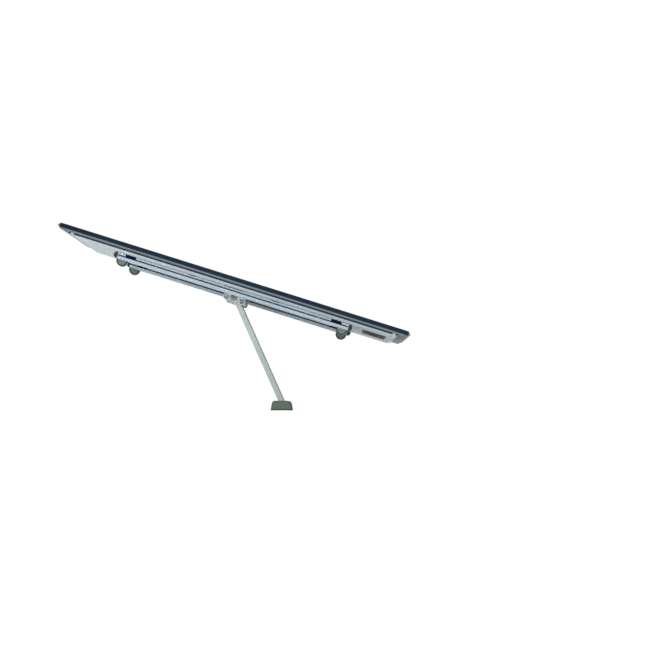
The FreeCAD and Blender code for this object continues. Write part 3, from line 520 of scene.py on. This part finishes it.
# %% Trims and their end stops
PAN_HALF_WIDTH, TRIM_HALF_LENGTH = 118.0, 128.0
for side, face in (("left", -1), ("right", 1)):
    bm = bmesh.new()
    y0, y1 = sorted((face * (PAN_HALF_WIDTH + 0.02), face * (PAN_HALF_WIDTH + 0.62)))
    low, high = PAN_WALL_BOTTOM + 0.04, PAN_TOP - 0.06
    bar(bm, -TRIM_HALF_LENGTH, TRIM_HALF_LENGTH, y0, y1, low, high)
    for height in (0.42, 0.58):
        everything = bm.verts[:] + bm.edges[:] + bm.faces[:]
        level = low + height * (high - low)
        bmesh.ops.bisect_plane(bm, geom=everything, plane_co=(0, 0, level), plane_no=(0, 0, 1))
    bm.normal_update()
    middle = (low + high) / 2
    outward = [f for f in bm.faces if f.normal.y * face > 0.9]
    groove = [f for f in outward if abs(f.calc_center_median().z - middle) < 0.1]
    pushed = bmesh.ops.extrude_discrete_faces(bm, faces=groove)["faces"]
    bmesh.ops.translate(bm, vec=(0, -face * 0.25, 0), verts=[v for f in pushed for v in f.verts])
    finish_piece(bm, f"pan_trim_{side}", "platform", GROOVE_SHADE_AND_TRIM, TO_PLATFORM, smooth=False)

    bm = bmesh.new()
    for end in (-1, 1):
        x0, x1 = sorted((end * (TRIM_HALF_LENGTH + 0.05), end * (TRIM_HALF_LENGTH + 2.6)))
        bar(bm, x0, x1, y0, y1 + 0.05 * (face > 0), low, high, 0.18, 3)
    finish_piece(bm, f"trim_stop_{side}", "platform", RAIL, TO_PLATFORM)

# %% [markdown]
# ## Closing frame
#
# The pan is smaller than the plate, and a thin pale sheet closes the gap between them, so that nobody
# sees up into the plate's hollow. It is a flat frame of four bars just below the plate's rim.

# %% Frame between the pan and the plate
FRAME_X, FRAME_Y = 138.2, 128.2
FRAME_LEVELS = (PLATE_BOTTOM - 0.12, PLATE_BOTTOM - 0.01)
bm = bmesh.new()
for sign in (-1, 1):
    x0, x1 = sorted((sign * (TRIM_HALF_LENGTH + 4.1), sign * FRAME_X))
    bar(bm, x0, x1, -FRAME_Y, FRAME_Y, *FRAME_LEVELS, 0.03)
    y0, y1 = sorted((sign * (PAN_HALF_WIDTH + 0.7), sign * FRAME_Y))
    bar(bm, -TRIM_HALF_LENGTH - 4.08, TRIM_HALF_LENGTH + 4.08, y0, y1, *FRAME_LEVELS, 0.03)
finish_piece(bm, "closing_frame", "platform", NAVY, TO_PLATFORM)

# %% [markdown]
# ## Screw heads
#
# The screws go up through the pan, the rails and the bracket, and only their flat heads show. A good
# head has a bevelled rim and a hexagon socket. To make one, a ring of six points and a ring of
# twenty-four are bridged into a face with a hexagonal hole. The hole's edge is then extruded up and
# closed, and the outer rim is extruded into the countersunk cone. These pieces stand for the plain CAD
# screws.

# %% One screw head, seen from below
def screw_head(bm, x, y, z, radius, socket, depth):
    hexagon = bmesh.ops.create_circle(bm, cap_ends=False, segments=6, radius=socket)["verts"]
    rim = bmesh.ops.create_circle(bm, cap_ends=False, segments=24, radius=radius - 0.12)["verts"]
    inner = [e for e in {e for v in hexagon for e in v.link_edges}]
    outer = [e for e in {e for v in rim for e in v.link_edges}]
    bmesh.ops.bridge_loops(bm, edges=inner + outer)
    made = set(hexagon + rim)

    def grow(edges, lift, scale):
        grown = bmesh.ops.extrude_edge_only(bm, edges=edges)["geom"]
        verts = [g for g in grown if isinstance(g, bmesh.types.BMVert)]
        bmesh.ops.scale(bm, vec=(scale, scale, 1), verts=verts)
        bmesh.ops.translate(bm, vec=(0, 0, lift), verts=verts)
        made.update(verts)
        return [g for g in grown if isinstance(g, bmesh.types.BMEdge)]

    floor_edges = grow(inner, depth, 0.96)
    bmesh.ops.contextual_create(bm, geom=floor_edges)
    cone = grow(outer, 0.12, radius / (radius - 0.12))
    grow(cone, 0.75, 0.55)
    bmesh.ops.translate(bm, vec=(x, y, z), verts=list(made))


# %% All the screws under the platform
PAN_HALF_LENGTH = 132.0
HEAD_RADIUS, SOCKET_RADIUS, SOCKET_DEPTH = 2.26, 1.05, 0.6
edge_x, edge_y = PAN_HALF_LENGTH - 21, PAN_HALF_WIDTH - 18
pan_places = [(sx * edge_x, sy * edge_y) for sx in (-1, 0, 1) for sy in (-1, 1)]
pan_places += [(-PAN_HALF_LENGTH / 2, 0.0), (PAN_HALF_LENGTH / 3, 0.0)]
rail_places = [(sx * x, y) for sx in (-1, 1) for x in (22.0, 66.0) for y in RAIL_LINES.values()]
bracket_places = [(sx * 6.5, sy * 53.0) for sx in (-1, 1) for sy in (-1, 1)]
for node, places, z in (
    ("pan_screws", pan_places, PAN_BOTTOM),
    ("rail_screws", rail_places, RAIL_BOTTOM),
    ("bracket_screws", bracket_places, PAN_BOTTOM - 1.2),
):
    bm = bmesh.new()
    for x, y in places:
        screw_head(bm, x, y, z, HEAD_RADIUS, SOCKET_RADIUS, SOCKET_DEPTH)
    finish_piece(
        bm, f"{node}_heads", "platform", BLACK_STEEL, TO_PLATFORM, replaces=[node]
    )

# %% [markdown]
# ## Bumpers
#
# Four round grey-green bumpers keep the rails off the desk when the stand is folded. From the side each
# is half a disc with a lighter face inside a dark rounded rim. That rim is painted shade: a dark finish
# on the rim's outer band stands in for the shading round the rounded edge, so it is made as two pieces:
# a rim painted dark and a lighter moulded hub. Each section is a short open line, spun a full turn about
# the bumper's own axle.
# The solid is then cut off at the rail by a plane, and the cut is filled.

# %% Spin a section and cut it off at the rail
BUMPER_RADIUS, BUMPER_HALF_WIDTH, BUMPER_FROM_CENTRE = 4.5, 5.5, 90.0
BUMPER_CENTRE = BUMPER_RADIUS - PIVOT_HEIGHT
# The outer rim section, which carries the dark painted shade.
PAINTED_SHADE_RIM = [(3.6, 0.84), (3.66, 0.97), (3.8, 1.0), (4.1, 1.0), (4.32, 0.97), (4.45, 0.92), (4.5, 0.84)]
HUB = [(0.0, 0.95), (1.1, 0.95), (1.3, 0.9), (3.3, 0.9), (3.55, 0.88), (3.64, 0.84)]


def spun_bumper(section, x, y, closed):
    bm = bmesh.new()
    path = [(r, -w * BUMPER_HALF_WIDTH) for r, w in section]
    path += [(r, w * BUMPER_HALF_WIDTH) for r, w in reversed(section)]
    verts = [bm.verts.new((r, w, 0)) for r, w in path]
    edges = [bm.edges.new(pair) for pair in zip(verts, verts[1:])]
    if closed:
        edges.append(bm.edges.new((verts[-1], verts[0])))
    bmesh.ops.spin(
        bm, geom=verts + edges, cent=(0, 0, 0), axis=(0, 1, 0), angle=math.tau, steps=48, use_merge=True
    )
    bmesh.ops.remove_doubles(bm, verts=bm.verts, dist=1e-4)
    bmesh.ops.bisect_plane(
        bm, geom=bm.verts[:] + bm.edges[:] + bm.faces[:],
        plane_co=(0, 0, RAIL_BOTTOM - BUMPER_CENTRE - 0.02), plane_no=(0, 0, 1), clear_outer=True,
    )
    bmesh.ops.holes_fill(bm, edges=[e for e in bm.edges if e.is_boundary], sides=0)
    bmesh.ops.translate(bm, vec=(x, y, BUMPER_CENTRE), verts=bm.verts)
    return bm


# %% Rims painted dark as shade, and hubs
for side, line in RAIL_LINES.items():
    for where, end in (("front", 1), ("rear", -1)):
        x, node = end * BUMPER_FROM_CENTRE, f"bumper_foot_{where}_{side}"
        # The rim's dark finish is painted shade round the bumper's edge. The hub keeps the bumper's own
        # grey green.
        bm = spun_bumper(PAINTED_SHADE_RIM, x, line, True)
        finish_piece(
            bm, f"bumper_shade_rim_{where}_{side}", "platform", CAP_AND_RIM_SHADE, TO_PLATFORM,
            replaces=[node],
        )
        bm = spun_bumper(HUB, x, line, False)
        finish_piece(bm, f"bumper_hub_{where}_{side}", "platform", BUMPER, TO_PLATFORM)

# %% [markdown]
# ## Grip pads
#
# Two long rubber pads in the top plate stop a laptop from sliding. Each has a smooth rim round a
# slightly sunken field of fine ribs. The pad is a flat bar whose upright edges are bevelled into half
# rounds. Its top face is inset and pushed down, and the ribs are slim bevelled bars laid in the field.

# %% Pads
PAD_LENGTH, PAD_WIDTH, PAD_BOTTOM, PAD_TOP = 220.0, 16.0, PLATE_TOP - 0.7, PLATE_TOP + 0.2
for where, end in (("front", 1), ("rear", -1)):
    bm = bmesh.new()
    middle = end * (140.0 - 35.0)
    half_x, half_y = PAD_WIDTH / 2, PAD_LENGTH / 2
    bar(bm, middle - half_x, middle + half_x, -half_y, half_y, PAD_BOTTOM, PAD_TOP)
    upright = [e for e in bm.edges if abs(e.verts[0].co.z - e.verts[1].co.z) > 0.1]
    bmesh.ops.bevel(bm, geom=upright, offset=7.5, affect="EDGES", segments=14, profile=0.5, material=-1)
    bm.normal_update()
    top = [f for f in bm.faces if f.normal.z > 0.9]
    bmesh.ops.inset_region(bm, faces=top, thickness=0.25, depth=0.0)
    bmesh.ops.inset_region(bm, faces=top, thickness=1.2, depth=0.0)
    bmesh.ops.inset_region(bm, faces=top, thickness=0.2, depth=-0.35)
    upper = [e for e in bm.edges if all(v.co.z > PAD_TOP - 1e-4 for v in e.verts)]
    outline = [
        e for e in upper if len(e.link_faces) == 2 and any(abs(f.normal.z) < 0.1 for f in e.link_faces)
    ]
    bmesh.ops.bevel(bm, geom=outline, offset=0.15, affect="EDGES", segments=2, profile=0.5, material=-1)
    for step in range(-4, 5):
        x = middle + step * 1.35
        reach = PAD_LENGTH / 2 - 1.8 - (7.5 - math.sqrt(7.5**2 - (step * 1.35) ** 2))
        bar(bm, x - 0.3, x + 0.3, -reach, reach, PAD_TOP - 0.4, PAD_TOP - 0.02, 0.14, 2)
    finish_piece(
        bm, f"ribbed_pad_{where}", "platform", PAD, TO_PLATFORM,
        replaces=[f"grip_pad_{where}"],
    )

# %% [markdown]
# ## Edge beads
#
# Each end of the plate carries a pale bead, a soft lip that a hand meets first. The CAD strip gives its
# seat, and the bead itself is finer: a slim bar with a nearly round nose. A second, darker bar behind
# it fills the seat, so that the bead reads as set into the plate.

# %% Beads
BEAD_LENGTH, PLATE_HALF_LENGTH = 246.0, 140.0
bead_middle = (PLATE_BOTTOM + 1.2 + PLATE_TOP - 0.7) / 2
for where, end in (("front", 1), ("rear", -1)):
    bm = bmesh.new()
    x0, x1 = sorted((end * (PLATE_HALF_LENGTH - 1.0), end * (PLATE_HALF_LENGTH + 1.45)))
    bar(bm, x0, x1, -BEAD_LENGTH / 2, BEAD_LENGTH / 2, bead_middle - 0.8, bead_middle + 0.8, 0.45, 4)
    finish_piece(
        bm, f"edge_bead_{where}", "platform", EDGE, TO_PLATFORM,
        replaces=[f"edge_strip_{where}"],
    )
    bm = bmesh.new()
    x0, x1 = sorted((end * (PLATE_HALF_LENGTH - 1.2), end * (PLATE_HALF_LENGTH + 0.1)))
    bar(bm, x0, x1, -BEAD_LENGTH / 2, BEAD_LENGTH / 2, bead_middle - 1.2, bead_middle + 1.2, 0.2)
    finish_piece(bm, f"bead_seat_{where}", "platform", GROOVE_SHADE_AND_TRIM, TO_PLATFORM)

# %% [markdown]
# ## Floor, light and camera
#
# The stand is shown on white: no colour in the surroundings, and light from everywhere. A pale matt
# floor and a white world give that. The world lights the stand less than it shows to the camera, or
# the navy would wash out. A broad lamp above whitens the floor, and a low one in front reaches under
# the platform, where the arm folds away. The camera is far off and level with the desk, with a long
# lens, so that the near and far rails almost cover each other.

# %% Floor
bm = bmesh.new()
bmesh.ops.create_grid(bm, x_segments=1, y_segments=1, size=30.0)
floor_mesh = bpy.data.meshes.new("floor")
bm.to_mesh(floor_mesh)
bm.free()
floor = bpy.data.objects.new("floor", floor_mesh)
bpy.context.scene.collection.objects.link(floor)
paper = bpy.data.materials.new("matt paper")
paper.use_nodes = True
paper_shader = paper.node_tree.nodes["Principled BSDF"]
paper_shader.inputs["Base Color"].default_value = (0.93, 0.93, 0.93, 1)
paper_shader.inputs["Roughness"].default_value = 1.0
paper_shader.inputs["Specular IOR Level"].default_value = 0.0
floor_mesh.materials.append(paper)

# %% World: white to the eye, softer as a light
scene = bpy.context.scene
world = bpy.data.worlds.new("white studio")
scene.world = world
world.use_nodes = True
background = world.node_tree.nodes["Background"]
background.inputs["Color"].default_value = (1.0, 1.0, 1.0, 1)
seen = world.node_tree.nodes.new("ShaderNodeLightPath")
strength = ramp(world.node_tree.nodes, 0.0, 1.0, 0.55, 1.0)
world.node_tree.links.new(seen.outputs["Is Camera Ray"], strength.inputs["Value"])
world.node_tree.links.new(strength.outputs["Result"], background.inputs["Strength"])
scene.view_settings.view_transform = "Standard"


# %% Lamps: a broad sky-like sun, a long low strip in front, and one behind for the far edges
def place_lamp(name, kind, energy, place, aim):
    lamp = bpy.data.lights.new(name, kind)
    lamp.energy = energy
    holder = bpy.data.objects.new(name, lamp)
    holder.location = place
    holder.rotation_euler = (Vector(aim) - Vector(place)).to_track_quat("-Z", "Y").to_euler()
    holder.visible_camera = False
    scene.collection.objects.link(holder)
    print(f"{name}: {kind.lower()}, {energy}")
    return holder


sky = place_lamp("broad overhead light", "SUN", 2.4, (-0.2, -0.6, 2.0), (0, 0, 0))
sky.data.angle = math.radians(75)
strip = place_lamp("low front strip", "AREA", 13.0, (0.03, -1.2, 0.045), (0, 0, 0.02))
strip.data.shape = "RECTANGLE"
strip.data.size, strip.data.size_y = 1.2, 0.08
strip.visible_glossy = False  # or every upright face would mirror it
back = place_lamp("back lamp", "AREA", 5.0, (-0.4, 1.4, 0.9), (0, 0, 0.08))
back.data.shape = "DISK"
back.data.size = 0.8

# %% Camera
CAMERA_DISTANCE = 2.297
CAMERA_ASIDE = 0.0354
CAMERA_HEIGHT = 0.002
camera_data = bpy.data.cameras.new("camera")
camera_data.lens = 158.8
camera_data.sensor_width = 36.0
camera_data.clip_start = 0.001
camera = bpy.data.objects.new("camera", camera_data)
camera.location = (CAMERA_ASIDE, -CAMERA_DISTANCE, CAMERA_HEIGHT)
camera.rotation_euler = (math.radians(90 + 1.72), 0, math.radians(0.07))
scene.collection.objects.link(camera)
scene.camera = camera
print("camera lens", camera_data.lens, "mm")
